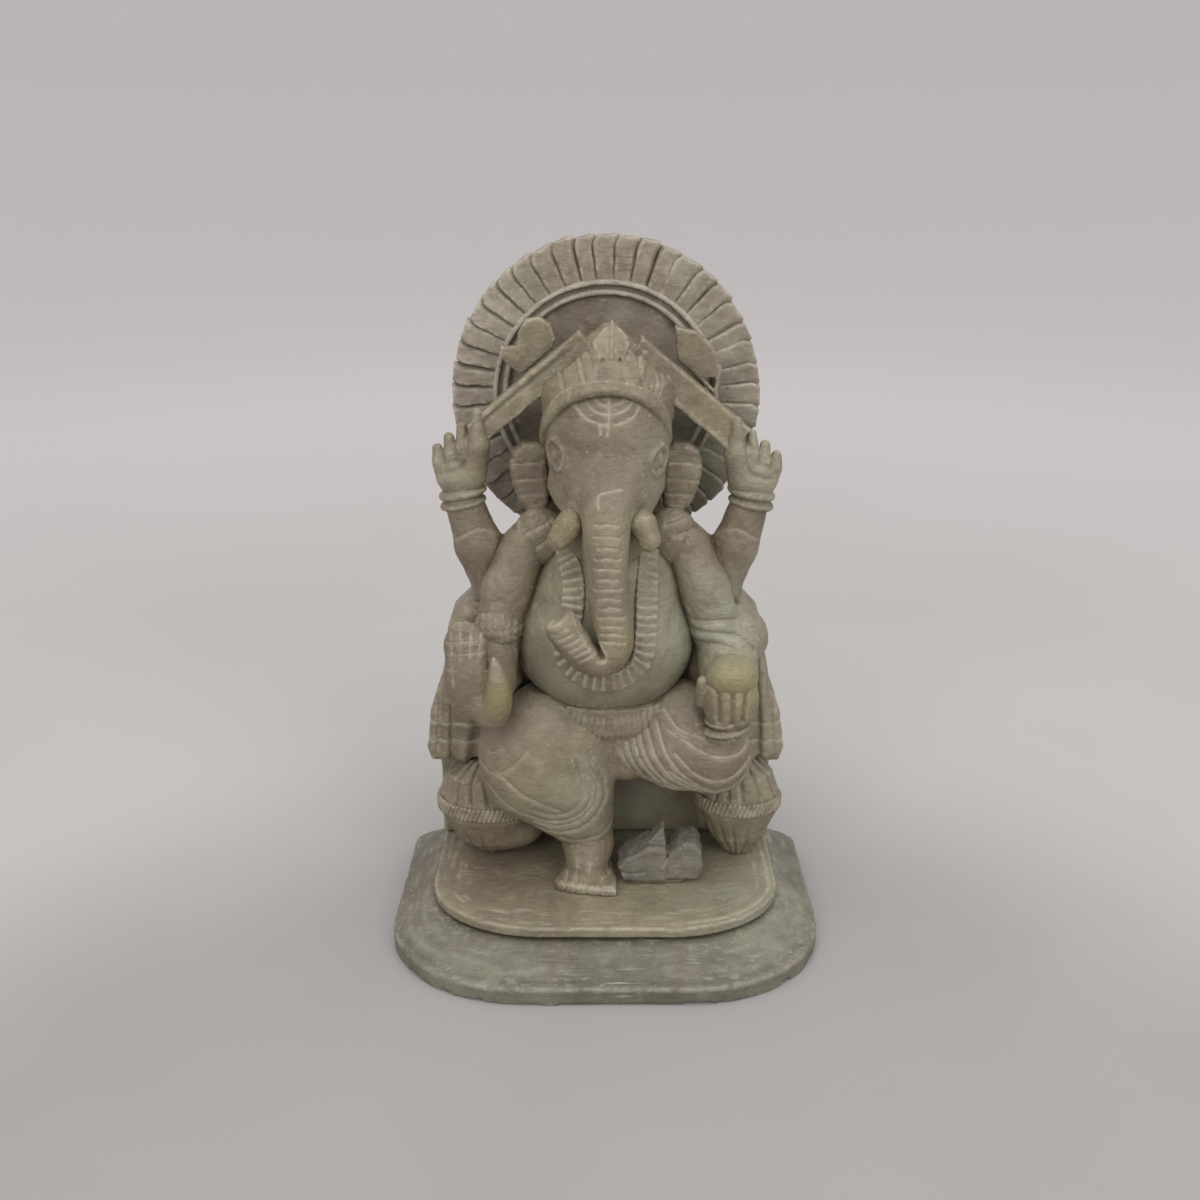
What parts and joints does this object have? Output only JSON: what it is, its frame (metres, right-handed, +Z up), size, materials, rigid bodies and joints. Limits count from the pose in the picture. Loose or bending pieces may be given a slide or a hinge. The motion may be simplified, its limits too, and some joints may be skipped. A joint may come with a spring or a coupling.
{
  "type": "ganesha idol",
  "caption": "Seated elephant-headed idol carved in soapstone, with a rayed halo and draped throne on a bevelled base slab, a small mouse at its foot.",
  "frame": {"origin": "middle of the base slab's underside", "axes": "+Z up; the idol faces -Y; +X is the idol's own left, which is on the right of a person who faces it"},
  "size_m": [0.126, 0.084, 0.2],
  "materials": {
    "carving_stone": "hand-carved grey-green to brown soapstone, satin with pale scratches and dust in the cuts",
    "halo_stone": "the same soapstone, paler and drier, with saw-cut rays",
    "pale_stone": "thin, waxy, yellowish and slightly translucent soapstone",
    "grey_stone": "matt grey soapstone, roughly cut",
    "plinth_stone": "satin soapstone with a scratched top and bright worn edges",
    "base_stone": "greener soapstone, satin, with brushed scratches and chipped edges",
    "adhesive": "hardened resin adhesive, dull"
  },
  "bodies": {
    "root": {"crown_band": "carving_stone", "crown": "carving_stone", "tusk_left": "pale_stone", "tusk_right": "pale_stone", "trunk": "carving_stone", "head": "carving_stone", "ear_left": "carving_stone", "ear_right": "carving_stone", "axe_handle": "carving_stone", "goad_handle": "carving_stone", "axe_blade": "carving_stone", "goad_blade": "carving_stone", "rear_hand_left": "carving_stone", "rear_bracelet_left": "carving_stone", "rear_forearm_left": "carving_stone", "rear_upper_arm_left": "carving_stone", "rear_hand_right": "carving_stone", "rear_bracelet_right": "carving_stone", "rear_forearm_right": "carving_stone", "rear_upper_arm_right": "carving_stone", "front_hand_right": "carving_stone", "front_forearm_right": "carving_stone", "front_upper_arm_right": "carving_stone", "armlet_right": "carving_stone", "sweet": "pale_stone", "front_hand_left": "carving_stone", "front_bracelet_left": "carving_stone", "front_forearm_left": "carving_stone", "front_upper_arm_left": "carving_stone", "garland": "carving_stone", "belly": "carving_stone", "waistband": "carving_stone", "centre_pleats": "carving_stone", "foot": "carving_stone", "shin": "carving_stone", "thigh_right": "carving_stone", "folded_leg": "carving_stone", "mouse": "grey_stone", "shoulders": "carving_stone", "cushion_left": "carving_stone", "cushion_band_left": "carving_stone", "cushion_right": "carving_stone", "cushion_band_right": "carving_stone", "drape_left": "carving_stone", "drape_right": "carving_stone", "halo_dish": "halo_stone", "halo_rim": "halo_stone", "halo_rays": "halo_stone", "throne_back": "carving_stone", "plinth": "plinth_stone", "adhesive_bed": "adhesive", "mouse_adhesive": "adhesive", "base_slab": "base_stone"}
  },
  "joints": []
}
